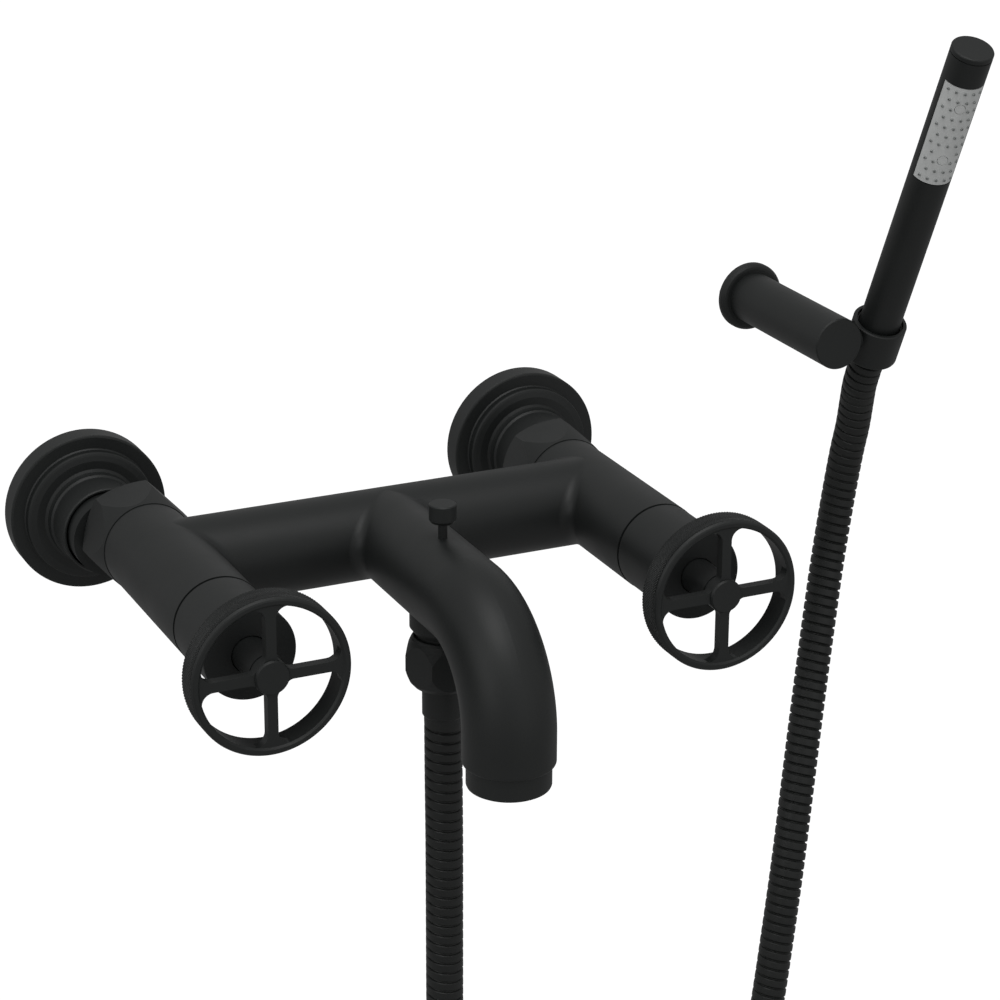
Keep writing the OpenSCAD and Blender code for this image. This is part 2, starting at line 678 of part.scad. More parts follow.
module at_bracket() { out_of_wall(bracket_x, bracket_z) children(); }
flange_t = 4.1;
plate_t = 3;
plate_r = 12.4;
screw_ring = 4.2;                   // radius of the circle that the two screws stand on
screw_len = 18;                     // screw behind the wall face
post_wall = 2.6;
post_bore = post_r - post_wall;
module at_screws() {
    for (turn = [45, 225]) rotate([0, 0, turn]) translate([screw_ring, 0, 0]) children();
}
module bracket_plate() {
    color(steel) at_bracket() difference() {
        union() {
            cylinder(r = plate_r, h = plate_t);
            ring(post_bore - 0.05, post_bore - 1.6, 0, 16);
        }
        at_screws() translate([0, 0, -1]) cylinder(r = 2.3, h = plate_t + 2);
    }
}
module bracket_flange() {
    r = flange_d / 2;
    color(black) at_bracket() rotate_extrude() polygon([
        [plate_r, 0], [r - 0.2, 0], [r, 0.3], [r, flange_t - 2], [r - 0.5, flange_t - 0.9],
        [r - 1.4, flange_t - 0.2], [r - 2.4, flange_t], [plate_r - 1, flange_t],
        [plate_r - 1, plate_t], [plate_r, plate_t]
    ]);
}
module bracket_screws() {
    color(steel) at_bracket() at_screws() {
        translate([0, 0, -screw_len]) cylinder(r = 2, h = screw_len);
        translate([0, 0, -1]) cylinder(r = 2.2, h = plate_t + 1);
        translate([0, 0, plate_t]) difference() {
            cylinder(r = 2.7, h = 2);
            translate([0, 0, 0.8]) cylinder(r = 1.3, h = 2, $fn = 6);
        }
    }
}
// Turns children so that +X runs out of the post's side at the pivot
module at_pivot() { translate([0, -pivot_y, bracket_z]) children(); }
module bracket_post() {
    solid = 20;
    color(black) difference() {
        union() {
            at_bracket() rotate_extrude() polygon([
                [0, plate_t], [plate_r - 1.2, plate_t], [plate_r - 1.2, flange_t],
                [post_r, flange_t], [post_r, post_len - 0.5],
                [post_r - 0.5, post_len], [0, post_len]
            ]);
            at_pivot() translate([bracket_x, 0, 0]) rotate([0, 90, 0]) cylinder(r = boss_r, h = post_r);
        }
        at_bracket() cylinder(r = post_bore, h = post_len - solid);
        at_pivot() translate([bracket_x - 2, 0, 0]) rotate([0, 90, 0]) cylinder(r = pivot_r, h = 40);
    }
}
head_t = 1;
module pivot_screw() {
    wall_x = holder_x - holder_bore;
    color(steel) at_pivot() {
        translate([bracket_x - 2, 0, 0]) rotate([0, 90, 0])
            cylinder(r = pivot_r, h = wall_x - head_t - bracket_x + 2);
        translate([wall_x - head_t - 0.3, 0, 0]) rotate([0, 90, 0]) cylinder(r = 3.6, h = head_t - 0.1);
    }
}
module pivot_washer() {
    color(acetal) at_pivot() translate([bracket_x + post_r + 0.02, 0, 0]) rotate([0, 90, 0])
        ring(boss_r - 0.3, pivot_r + 0.1, 0, holder_gap - 0.04);
}

// --- Hand shower and its holder --------------------------------------------------

// Children are drawn with the pivot at the origin and +Z along the hand shower
module at_holder() {
    translate([holder_x, -pivot_y, bracket_z]) rotate([holder_tilt, 0, 0]) children();
}
module holder_sleeve() {
    color(black) at_holder() difference() {
        union() {
            rotate_extrude() polygon([
                [0, sleeve_low], [holder_r - 0.7, sleeve_low], [holder_r - 0.2, sleeve_low + 0.2],
                [holder_r, sleeve_low + 0.7], [holder_r, sleeve_top - 0.5],
                [holder_r - 0.5, sleeve_top], [0, sleeve_top]
            ]);
            translate([-holder_r, 0, 0]) rotate([0, 90, 0]) cylinder(r = boss_r, h = 6);
        }
        translate([0, 0, sleeve_low - 1]) cylinder(r = holder_bore, h = 40);
        rotate([0, -90, 0]) cylinder(r = pivot_r + run, h = 20);
        translate([-holder_bore - head_t - 0.4, 0, 0]) rotate([0, 90, 0]) cylinder(r = 4, h = 6);
    }
}
module holder_liner() {
    ledge_r = hose_r + 0.6;
    color(rubber) at_holder() difference() {
        translate([0, 0, sleeve_low + 0.5]) cylinder(r = holder_bore, h = sleeve_top - sleeve_low - 2.5);
        translate([0, 0, ledge_w]) cylinder(r = wand_r + 0.45, h = 40);
        translate([0, 0, sleeve_low - 1]) cylinder(r = ledge_r, h = 10);
        translate([-20, 0, 0]) rotate([0, 90, 0]) cylinder(r = 4.4, h = 20);
    }
}
inlet_thread_r = wand_r - 2.05;
// Crimped upper end of the hose with the thread that the hand shower screws into
module hose_collar() {
    color(black) at_holder() difference() {
        rotate_extrude() polygon([
            [0, ledge_w], [wand_r - 0.6, ledge_w], [wand_r, ledge_w + 0.6],
            [wand_r, joint_w - 0.4], [wand_r - 0.4, joint_w], [0, joint_w]
        ]);
        translate([0, 0, joint_w - 11]) cylinder(r = inlet_thread_r + run, h = 20);
        translate([0, 0, ledge_w - 1]) cylinder(r = insert_bore, h = 20);
    }
}
module wand_inlet() {
    color(brass) at_holder() difference() {
        union() {
            translate([0, 0, joint_w - 10]) cylinder(r = inlet_thread_r, h = 18);
            translate([0, 0, joint_w + 0.3]) cylinder(r = wand_r - 1.2, h = 8);
        }
        translate([0, 0, joint_w - 11]) cylinder(r = 4.5, h = 30);
    }
}
module spray_turned() { at_holder() rotate([0, 0, -spray_turn]) children(); }
// Wedge that covers the spray face, opening towards -Y
module spray_sector(r, a, low, top) {
    translate([0, 0, low]) rotate([0, 0, -90 - a]) rotate_extrude(angle = 2 * a) square([r, top - low]);
}
wand_wall = 1.2;
module wand_tube() {
    color(black) difference() {
        at_holder() ring(wand_r, wand_r - wand_wall, joint_w + 0.3, wand_top - cap_t - cap_seam);
        spray_turned() spray_sector(wand_r + 1, plate_half, plate_low, plate_top);
    }
}
module wand_cap() {
    r = wand_r;
    color(black) at_holder() translate([0, 0, wand_top]) rotate_extrude() polygon([
        [0, -cap_t - 4], [r - wand_wall, -cap_t - 4], [r - wand_wall, -cap_t - cap_seam],
        [r - 0.6, -cap_t - cap_seam], [r - 0.6, -cap_t], [r - 0.1, -cap_t],
        [r, -cap_t + 0.2], [r, -0.6], [r - 0.2, -0.2], [r - 0.6, 0], [0, 0]
    ]);
}
module spray_plate() {
    edge = 0.35;
    color(silicone) spray_turned() difference() {
        spray_sector(wand_r - 0.15, plate_half - 1.4, plate_low + edge, plate_top - edge);
        translate([0, 0, plate_low - 1]) cylinder(r = wand_r - 2.4, h = 80);
        for (z = plug_levels) translate([0, -wand_r + 4, z]) rotate([90, 0, 0])
            cylinder(r = plug_r + 0.2, h = 8);
    }
}
plug_r = 2.1;
plug_levels = [plate_top - 10.3, plate_low + 12.8];
module spray_plugs() {
    color(silicone) spray_turned() for (z = plug_levels) translate([0, -wand_r + 2.6, z])
        rotate([90, 0, 0]) cylinder(r = plug_r, h = 2.5);
}

escutcheon(-1);  // escutcheon_left
escutcheon(1);  // escutcheon_right
s_union(-1);  // s_union_left
s_union(1);  // s_union_right
union_nut(-1);  // union_nut_left
union_nut(1);  // union_nut_right
inlet_tail(-1);  // inlet_tail_left
inlet_tail(1);  // inlet_tail_right
union_washers();
valve_barrel(-1);  // valve_barrel_left
valve_barrel(1);  // valve_barrel_right
cartridge(-1);  // cartridge_left
cartridge(1);  // cartridge_right
cartridge_seals();
fixed_discs();
spindle_o_rings();
valve_sleeve(-1);  // valve_sleeve_left
valve_sleeve(1);  // valve_sleeve_right
cross_tube();
spout();
aerator_housing();
aerator_insert();
aerator_washer();
diverter_partition();
diverter_gland();
hose_outlet();
hose_washer();
hose_nut();
hose_ferrule();
shower_hose();
bracket_plate();
bracket_flange();
bracket_post();
bracket_screws();
pivot_screw();
pivot_washer();
moving_disc(-1);  // moving_disc_left
spindle(-1);  // spindle_left
handle_stem(-1);  // handle_stem_left
handle_screw(-1);  // handle_screw_left
wheel(-1);  // wheel_left
knurled_ring(-1);  // knurled_ring_left
moving_disc(1);  // moving_disc_right
spindle(1);  // spindle_right
handle_stem(1);  // handle_stem_right
handle_screw(1);  // handle_screw_right
wheel(1);  // wheel_right
knurled_ring(1);  // knurled_ring_right
diverter_knob();
diverter_rod();
diverter_plunger();
diverter_washers();
holder_sleeve();
holder_liner();
hose_collar();
wand_tube();
wand_cap();
wand_inlet();
spray_plate();
spray_plugs();
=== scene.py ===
"""Looks of an exposed wall mounted bath filler with two wheel valves, a pull-up diverter, a
flexible hose and a slim hand shower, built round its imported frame.

Metres, with the origin midway between the two supply inlets on the wall, +X to the right along
the cross tube, +Y into the wall and +Z up."""

import json
import math

import bpy
import numpy as np
from bpy.props import FloatProperty, FloatVectorProperty, IntProperty, PointerProperty
from mathutils import Matrix, Vector


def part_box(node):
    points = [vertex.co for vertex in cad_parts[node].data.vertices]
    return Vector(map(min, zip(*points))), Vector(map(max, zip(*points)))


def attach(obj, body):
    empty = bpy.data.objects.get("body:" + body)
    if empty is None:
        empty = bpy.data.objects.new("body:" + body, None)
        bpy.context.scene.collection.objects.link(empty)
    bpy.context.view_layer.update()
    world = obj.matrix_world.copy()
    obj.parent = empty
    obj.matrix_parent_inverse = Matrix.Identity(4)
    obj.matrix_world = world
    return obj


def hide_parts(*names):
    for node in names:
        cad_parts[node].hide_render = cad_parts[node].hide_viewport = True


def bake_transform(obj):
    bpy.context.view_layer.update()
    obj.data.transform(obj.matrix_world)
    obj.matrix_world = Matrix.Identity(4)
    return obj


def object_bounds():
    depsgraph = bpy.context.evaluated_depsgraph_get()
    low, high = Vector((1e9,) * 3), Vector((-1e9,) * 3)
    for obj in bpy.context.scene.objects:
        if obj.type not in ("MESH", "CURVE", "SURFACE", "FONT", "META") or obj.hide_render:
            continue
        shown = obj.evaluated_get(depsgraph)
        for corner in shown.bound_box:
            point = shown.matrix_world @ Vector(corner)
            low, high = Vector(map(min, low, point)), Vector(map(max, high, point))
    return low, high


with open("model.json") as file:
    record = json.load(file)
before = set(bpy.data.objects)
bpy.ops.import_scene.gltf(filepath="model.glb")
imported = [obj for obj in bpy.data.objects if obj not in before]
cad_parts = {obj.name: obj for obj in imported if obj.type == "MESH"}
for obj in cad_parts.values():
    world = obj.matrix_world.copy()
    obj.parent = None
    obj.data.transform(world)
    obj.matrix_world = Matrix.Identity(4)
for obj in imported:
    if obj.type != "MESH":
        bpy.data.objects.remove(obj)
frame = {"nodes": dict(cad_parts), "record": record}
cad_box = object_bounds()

bl_info = {
    "name": "Wheel handle bath filler",
    "version": (1, 0, 0),
    "blender": (4, 5, 0),
    "location": "View3D > Sidebar > Bath filler",
    "description": "Hose, knurled rings, tube fillets, spray nozzles and finishes of a bath filler",
    "category": "Object",
}

MM = 0.001
# Edges that turn by more than this stay sharp in the shading
SHARP_EDGE = math.radians(38)

# Middle line of the hose in millimetres, from the ferrule under the spout to the collar of the
# hand shower. It hangs from its two ends
HOSE_ROUTE = np.array([
    [0, -147, -56], [0.1, -147, -80], [0.3, -147, -110], [0.3, -147, -150],
    [0.3, -147, -200], [0.3, -147, -255], [0.3, -147, -310], [0.6, -146.8, -365],
    [1, -146.4, -418], [2, -146, -463], [4, -145, -505], [9, -144, -532],
    [22.5, -140.5, -556], [44, -135, -574], [70, -128.5, -583.5], [98, -121.5, -583.5],
    [124, -115, -574], [145.5, -109.5, -556], [159, -106, -532], [164, -104.5, -505],
    [166.5, -104, -460], [169.3, -103, -415], [172.9, -101, -368], [177.7, -98, -315],
    [183.2, -94.8, -274], [190, -90.8, -238], [197.9, -85.2, -199.3], [206, -77.5, -165.2],
    [213.8, -69.5, -135.3], [221, -62.2, -109.2], [227.2, -56.2, -86.5], [232.2, -51.6, -67.6],
    [236, -48.7, -52.4], [239.2, -47.3, -36], [241.2, -47.3, -22.6], [242.3, -48.9, -9.5],
    [242.6, -52.1, 3.1], [241.6, -56, 15.7], [240.6, -59.4, 24.9], [240.3, -63.36, 33.93],
    [240.3, -67.21, 42.56],
])

# The spray face of the hand shower: its ends, and the middles of its two plugs, as heights above
# the hose joint; its radius; and its middle's turn to the left of straight ahead, in degrees
SPRAY_LOW, SPRAY_TOP = 84.9 * MM, 133.0 * MM
SPRAY_PLUGS = (97.2 * MM, 123.2 * MM)
PLUG_CLEAR = 3.6 * MM
SPRAY_RADIUS = 8.85 * MM
SPRAY_TURN = 20
SPRAY_ROWS = 11


def linear(colour):
    """sRGB hex such as "#1b1d1d" as three linear numbers."""
    parts = [int(colour[i:i + 2], 16) / 255 for i in (1, 3, 5)]
    return tuple(c / 12.92 if c <= 0.04045 else ((c + 0.055) / 1.055) ** 2.4 for c in parts)


def box_of(node):
    """Lowest corner, highest corner and middle of a CAD node, as arrays."""
    low, high = (np.array(corner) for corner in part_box(node))
    return low, high, (low + high) / 2


# --- Sizes and colours -----------------------------------------------------------------


class FillerSizes(bpy.types.PropertyGroup):
    """Sizes of the pieces that the frame leaves plain."""
    hose_radius: FloatProperty(
        name="Hose radius", description="Outer radius of the hose over its crowns",
        default=7.7 * MM, min=6 * MM, max=9 * MM, unit="LENGTH", precision=5)
    rib_pitch: FloatProperty(
        name="Hose rib pitch", description="Distance from one turn of the hose's strip to the next",
        default=4.3 * MM, min=2 * MM, max=8 * MM, unit="LENGTH", precision=5)
    rib_depth: FloatProperty(
        name="Hose groove depth", description="Depth of the groove between two turns of the strip",
        default=1.05 * MM, min=0.2 * MM, max=2 * MM, unit="LENGTH", precision=5)
    hose_sides: IntProperty(
        name="Hose sides", description="Faces round the hose", default=24, min=12, max=32)
    knurl_pitch: FloatProperty(
        name="Knurl pitch", description="Distance between the points of the diamond knurl",
        default=1.2 * MM, min=0.8 * MM, max=3 * MM, unit="LENGTH", precision=5)
    knurl_depth: FloatProperty(
        name="Knurl depth", description="Height of the knurl's points above its grooves",
        default=0.45 * MM, min=0.1 * MM, max=0.8 * MM, unit="LENGTH", precision=5)
    fillet: FloatProperty(
        name="Tube fillet", description="Radius of the fillet where two tubes meet",
        default=5.0 * MM, min=1 * MM, max=12 * MM, unit="LENGTH", precision=5)
    nozzle_height: FloatProperty(
        name="Nozzle height", description="How far the spray nozzles stand above their plate",
        default=0.6 * MM, min=0.2 * MM, max=2 * MM, unit="LENGTH", precision=5)
    nozzle_radius: FloatProperty(
        name="Nozzle radius", description="Radius of a spray nozzle at its foot",
        default=0.7 * MM, min=0.3 * MM, max=2 * MM, unit="LENGTH", precision=5)


class FillerColours(bpy.types.PropertyGroup):
    """Colours of the finishes."""
    coat: FloatVectorProperty(
        name="Black coat", description="Matte black coat on the brass", subtype="COLOR", size=3,
        default=linear("#1b1e1d"), min=0, max=1)
    coat_low: FloatVectorProperty(
        name="Black coat, darker", description="Darker tone of the same coat", subtype="COLOR",
        size=3, default=linear("#171919"), min=0, max=1)
    hose: FloatVectorProperty(
        name="Hose strip", description="Black strip that the hose is wound from",
        subtype="COLOR", size=3, default=linear("#1b1d1c"), min=0, max=1)
    silicone: FloatVectorProperty(
        name="Spray face", description="Grey silicone of the spray face", subtype="COLOR", size=3,
        default=linear("#d6d8d7"), min=0, max=1)
    # Painted shade: the nozzles' grey is darker than the face's so that it stands in for the
    # shadows in and beside them
    nozzles: FloatVectorProperty(
        name="Nozzles", description="Darker grey silicone of the spray nozzles", subtype="COLOR",
        size=3, default=linear("#9a9d9c"), min=0, max=1)
    floor: FloatVectorProperty(
        name="Floor", description="Pale studio floor", subtype="COLOR", size=3,
        default=linear("#fbfbfb"), min=0, max=1)


# --- Meshes ----------------------------------------------------------------------------


def grid_faces(rows, columns, close_rows=False, close_columns=True):
    """Four-sided faces of a grid of points numbered row by row. A closed direction joins its last
    line to its first. Faces point outwards where the columns run anticlockwise seen from the end
    that the rows run towards."""
    r = np.arange(rows if close_rows else rows - 1)[:, None]
    c = np.arange(columns if close_columns else columns - 1)[None, :]
    r2, c2 = (r + 1) % rows, (c + 1) % columns
    return np.stack([r * columns + c, r * columns + c2, r2 * columns + c2, r2 * columns + c],
                    axis=-1).reshape(-1, 4)


def put_mesh(name, points, faces, material, smooth=True, caps=()):
    """A mesh object from an array of points in metres and an array of four-sided faces."""
    mesh = bpy.data.meshes.new(name)
    mesh.from_pydata(points.reshape(-1, 3).tolist(), [], faces.tolist() + [list(c) for c in caps])
    mesh.update()
    mesh.polygons.foreach_set("use_smooth", np.full(len(mesh.polygons), smooth))
    if smooth:
        mesh.set_sharp_from_angle(angle=SHARP_EDGE)
    piece = bpy.data.objects.new(name, mesh)
    bpy.context.scene.collection.objects.link(piece)
    mesh.materials.append(material)
    return piece


def unit(v):
    """Vectors divided by their lengths."""
    return v / np.linalg.norm(v, axis=-1, keepdims=True)


def hose_line():
    """The hose's middle line in metres, and the distance run along it. Each span of the route is
    the Catmull-Rom cubic through its two points, with slopes from the points on either side. The
    line runs on straight for a little at both ends."""
    p = HOSE_ROUTE * MM
    spans = np.arange(len(p) - 1)
    a, b, c, d = (p[np.clip(spans + k, 0, len(p) - 1)][:, None] for k in (-1, 0, 1, 2))
    steps = 40
    t = (np.arange(steps) / steps)[None, :, None]
    line = 0.5 * (2 * b + (c - a) * t + (2 * a - 5 * b + 4 * c - d) * t ** 2
                  + (3 * b - a - 3 * c + d) * t ** 3)
    line = np.concatenate([line.reshape(-1, 3), p[-1:]])
    run = np.concatenate([[0], np.cumsum(np.linalg.norm(np.diff(line, axis=0), axis=1))])
    more = 10 * MM
    first = line[0] - more * unit(line[1] - line[0])
    last = line[-1] + more * unit(line[-1] - line[-2])
    return (np.concatenate([[first], line, [last]]),
            np.concatenate([[-more], run, [run[-1] + more]]))


def at_lengths(line, run, lengths):
    """Points of a line at the given distances along it."""
    return np.stack([np.interp(lengths, run, line[:, k]) for k in range(3)], axis=-1)


# Roughly square to the plane that the hose hangs in
HANG_NORMAL = np.array([-0.25, 0.97, 0.0])

# Share of a turn's pitch, and how deep the surface lies there as a share of the groove's depth
TURN = np.array([[0.0, 1.0], [0.07, 0.85], [0.12, 0.25], [0.18, 0.04],
                 [0.5, 0.0], [0.82, 0.04], [0.88, 0.25], [0.93, 0.85]])


def wound_tube(line, run, start, end, radius, pitch, depth, sides):
    """A hose wound from one strip, as a surface of the turns n along it and the angle a round it.
    A point lies at the distance s = start + pitch (n - a / 2 pi) along the line, at the radius
    R - depth g(n), where g is 1 in the groove and 0 on the crown, so the groove is a helix. Each
    row's first point is on the cross product of the line's direction and the normal of the plane
    that the hose hangs in, so the rows never twist. Both ends run into the fitting that holds
    them, by one pitch at most."""
    count = round((end - start) / pitch) + 1
    step = (end - start) / (count - 1)
    turns = np.append((np.arange(count)[:, None] + TURN[None, :, 0]).ravel(), count)
    deep = np.append(np.tile(TURN[:, 1], count), 1.0)
    a = np.arange(sides) / sides
    s = start + step * (turns[:, None] - a[None, :])
    centre = at_lengths(line, run, s)
    near = 1.5 * MM
    ahead = unit(at_lengths(line, run, s + near) - at_lengths(line, run, s - near))
    side = unit(np.cross(ahead, HANG_NORMAL))
    other = np.cross(ahead, side)
    turn = 2 * np.pi * a[None, :, None]
    r = (radius - depth * deep)[:, None, None]
    return centre + r * (np.cos(turn) * side + np.sin(turn) * other)


def wound_faces(points):
    """Faces of a wound tube, whose last side meets its first one turn further on. Returns the
    points with two middle ones added, the faces and the fans that close both ends."""
    rows, sides = points.shape[:2]
    per = len(TURN)
    within = grid_faces(rows, sides, close_columns=False)
    k = np.arange(rows - per - 1)
    last, first = (k + per) * sides + sides - 1, k * sides
    seam = np.stack([last, first, first + sides, last + sides], axis=-1)
    low = [*range(sides), *((r * sides + sides - 1) for r in range(1, per + 1))]
    high = [*((r * sides) for r in range(rows - 1 - per, rows)),
            *((rows - 1) * sides + c for c in range(1, sides))]
    flat = points.reshape(-1, 3)
    middle = len(flat)
    flat = np.concatenate([flat, flat[low].mean(axis=0)[None], flat[high].mean(axis=0)[None]])
    caps = [(middle, low[(n + 1) % len(low)], low[n]) for n in range(len(low))]
    caps += [(middle + 1, high[n], high[(n + 1) % len(high)]) for n in range(len(high))]
    return flat, np.concatenate([within, seam]), caps


# Points across a fillet, and how far inside the metal its closing line lies
ARC_POINTS, INSIDE = 9, 0.8 * MM
FILLET_TURNS = 180


def crossing_fillet(r_a, r_b, f):
    """Rolling ball fillet where tube b runs square into tube a, in a frame with tube a along Z,
    tube b along X from the origin outwards and Y across both. The ball of radius f touches both
    tubes: at the angle u round tube b its centre is (x, (rb + f) cos u, (rb + f) sin u) with
    x = sqrt((ra + f)^2 - ((rb + f) cos u)^2). The surface is the ball's arc from one touching
    point to the other, and it is closed by a line inside the metal."""
    u = 2 * np.pi * np.arange(FILLET_TURNS) / FILLET_TURNS
    y, z = (r_b + f) * np.cos(u), (r_b + f) * np.sin(u)
    x = np.sqrt(np.maximum((r_a + f) ** 2 - y ** 2, 1e-12))
    centre = np.stack([x, y, z], axis=1)
    to_a = unit(np.stack([-x, -y, np.zeros_like(u)], axis=1))
    to_b = unit(np.stack([np.zeros_like(u), -y, -z], axis=1))
    cos_all = np.clip((to_a * to_b).sum(1), -1, 1)
    angle = np.maximum(np.arccos(cos_all), 1e-4)[:, None, None]
    t = np.linspace(0, 1, ARC_POINTS)[None, :, None]
    arc = (np.sin((1 - t) * angle) * to_a[:, None]
           + np.sin(t * angle) * to_b[:, None]) / np.sin(angle)
    outer = centre[:, None] + f * arc
    inward = unit(to_a + to_b)
    reach = f / np.maximum(np.cos(angle[:, 0, 0] / 2), 0.3) + INSIDE
    inner = centre + inward * reach[:, None]
    return np.concatenate([outer, inner[:, None]], axis=1)


# --- Materials -------------------------------------------------------------------------


def add_node(tree, kind, settings=None, links=None):
    """Adds a node, sets its properties and unlinked sockets, and links {socket: (node, output)}."""
    node = tree.nodes.new(kind)
    for key, value in (settings or {}).items():
        if isinstance(key, int) or key in node.inputs:
            node.inputs[key].default_value = value
        else:
            setattr(node, key, value)
    for key, (source, output) in (links or {}).items():
        tree.links.new(source.outputs[output], node.inputs[key])
    return node


def finish_of(name, low, high, rough, grain, tone_size, bump, metallic=0.0, specular=0.5,
              rough_swing=0.08, stretch=(1, 1, 1)):
    """A surface with a slow change of tone between two colours, a fine grain in its height and a
    roughness that drifts by rough_swing. tone_size and grain are lengths in metres."""
    material = bpy.data.materials.new(name)
    material.use_nodes = True
    tree = material.node_tree
    tree.nodes.clear()
    where = add_node(tree, "ShaderNodeTexCoord")
    laid = add_node(tree, "ShaderNodeMapping", {"Scale": stretch}, {"Vector": (where, "Object")})
    tone = add_node(tree, "ShaderNodeTexNoise", {"Scale": 1 / tone_size, "Detail": 3.0},
                    {"Vector": (laid, "Vector")})
    fine = add_node(tree, "ShaderNodeTexNoise", {"Scale": 1 / grain, "Detail": 2.0},
                    {"Vector": (laid, "Vector")})
    colour = add_node(tree, "ShaderNodeMix", {"data_type": "RGBA", 6: (*low, 1), 7: (*high, 1)},
                      {0: (tone, "Fac")})
    dull = add_node(tree, "ShaderNodeMapRange",
                    {"To Min": rough - rough_swing, "To Max": rough + rough_swing},
                    {"Value": (tone, "Fac")})
    height = add_node(tree, "ShaderNodeBump", {"Strength": 0.6, "Distance": bump},
                      {"Height": (fine, "Fac")})
    shader = add_node(tree, "ShaderNodeBsdfPrincipled",
                      {"Metallic": metallic, "Specular IOR Level": specular},
                      {"Roughness": (dull, "Result"), "Normal": (height, "Normal")})
    tree.links.new(colour.outputs[2], shader.inputs["Base Color"])
    add_node(tree, "ShaderNodeOutputMaterial", None, {"Surface": (shader, "BSDF")})
    return material


MATERIALS = {}


def make_materials(colours):
    """Every finish, by its slot in the record, and the nozzles' darker grey, which is painted
    shade.
    """
    # Cast and turned brass under a matte black electrophoretic coat: dark, very even, with a
    # soft broad highlight and a grain of half a millimetre, drawn coarser than the real one
    MATERIALS["matte_black"] = finish_of(
        "matte_black_coated_brass", tuple(colours.coat_low), tuple(colours.coat), 0.50,
        0.6 * MM, 22 * MM, 0.03 * MM, specular=0.42)
    # The same coat on the hose's wound strip: a little darker and smoother on its crowns
    MATERIALS["black_hose"] = finish_of(
        "black_coated_strip_hose", tuple(0.8 * np.array(colours.hose)), tuple(colours.hose), 0.45,
        0.5 * MM, 15 * MM, 0.02 * MM, specular=0.4)
    # Machined brass left bare inside: warm metal with turning marks
    MATERIALS["brass"] = finish_of(
        "machined_brass", linear("#a8843f"), linear("#c5a055"), 0.32, 0.4 * MM, 9 * MM,
        0.02 * MM, metallic=1.0)
    # Sintered alumina valve discs, lapped: off-white and glossy
    MATERIALS["ceramic"] = finish_of(
        "lapped_alumina", linear("#e6e3da"), linear("#f1efe8"), 0.14, 0.3 * MM, 8 * MM,
        0.004 * MM, rough_swing=0.04)
    # Moulded EPDM seals: dull black with a faint bloom
    MATERIALS["black_rubber"] = finish_of(
        "moulded_epdm", linear("#1c1c1c"), linear("#2b2b2a"), 0.78, 0.5 * MM, 6 * MM, 0.03 * MM)
    # Cold drawn stainless steel: pale metal with lengthwise drawing marks
    MATERIALS["stainless"] = finish_of(
        "drawn_stainless", linear("#aeb0b1"), linear("#c9cacb"), 0.3, 0.3 * MM, 6 * MM,
        0.01 * MM, metallic=1.0)
    # Moulded acetal: milky white with a low sheen
    MATERIALS["acetal"] = finish_of(
        "moulded_acetal", linear("#d4d3cc"), linear("#e3e2dc"), 0.42, 0.6 * MM, 10 * MM,
        0.01 * MM)
    # Moulded grey silicone of the spray face: satin, slightly uneven
    MATERIALS["grey_silicone"] = finish_of(
        "moulded_grey_silicone", tuple(0.86 * np.array(colours.silicone)),
        tuple(colours.silicone), 0.5, 0.5 * MM, 5 * MM, 0.02 * MM)
    # The same silicone in a darker grey on the soft nozzles that stand in the face: painted shade,
    # standing in for the shadows in and beside the nozzles
    MATERIALS["nozzle_silicone"] = finish_of(
        "silicone_darkened_for_painted_nozzle_shade", tuple(0.8 * np.array(colours.nozzles)),
        tuple(colours.nozzles), 0.5, 0.5 * MM, 5 * MM, 0.02 * MM)


# --- Operators -------------------------------------------------------------------------


class FILLER_OT_camera(bpy.types.Operator):
    """Stands the camera to the left of the filler and above it, looking down at it"""
    bl_idname = "filler.camera"
    bl_label = "Camera"

    def execute(self, context):
        data = bpy.data.cameras.new("camera")
        data.lens, data.sensor_width = 107.36, 36
        data.clip_start, data.clip_end = 0.05, 60
        camera = bpy.data.objects.new("camera", data)
        context.scene.collection.objects.link(camera)
        right, up = Vector((0.9077, -0.4197, 0.0042)), Vector((0.1452, 0.3233, 0.9351))
        back = right.cross(up).normalized()
        up = back.cross(right.normalized())
        place = Matrix((right.normalized(), up, back)).transposed().to_4x4()
        place.translation = Vector((-0.43227, -1.13045, 0.44432))
        camera.matrix_world = place
        context.scene.camera = camera
        return {"FINISHED"}


class FILLER_OT_finishes(bpy.types.Operator):
    """Makes the materials and gives every part of the frame its own"""
    bl_idname = "filler.finishes"
    bl_label = "Finishes"

    def execute(self, context):
        make_materials(context.scene.filler_colours)
        for part in frame["record"]["subparts"]:
            mesh = frame["nodes"][part["node"]].data
            mesh.materials.clear()
            mesh.materials.append(MATERIALS[part["material_slot"]])
        return {"FINISHED"}


class FILLER_OT_hose(bpy.types.Operator):
    """Winds the ribbed hose along its route, with a short length that stays with the collar"""
    bl_idname = "filler.hose"
    bl_label = "Shower hose"

    def execute(self, context):
        sizes = context.scene.filler_sizes
        line, run = hose_line()
        length = run[-2]
        shape = (sizes.rib_pitch, sizes.rib_depth, sizes.hose_sides)
        points, faces, caps = wound_faces(
            wound_tube(line, run, 0, length, sizes.hose_radius, *shape))
        hose = put_mesh("strip_wound_hose", points, faces, MATERIALS["black_hose"],
                        caps=caps)
        # The length under the collar is seen only when the hand shower is lifted. At
        # rest it lies just inside the hose
        tail_length, inset = 27 * MM, 0.35 * MM
        points, faces, caps = wound_faces(
            wound_tube(line, run, length - tail_length, length, sizes.hose_radius - inset, *shape))
        tail = put_mesh("hose_end_at_collar", points, faces, MATERIALS["black_hose"],
                        caps=caps)
        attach(tail, "hose_end")
        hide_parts("shower_hose")
        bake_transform(hose)
        return {"FINISHED"}


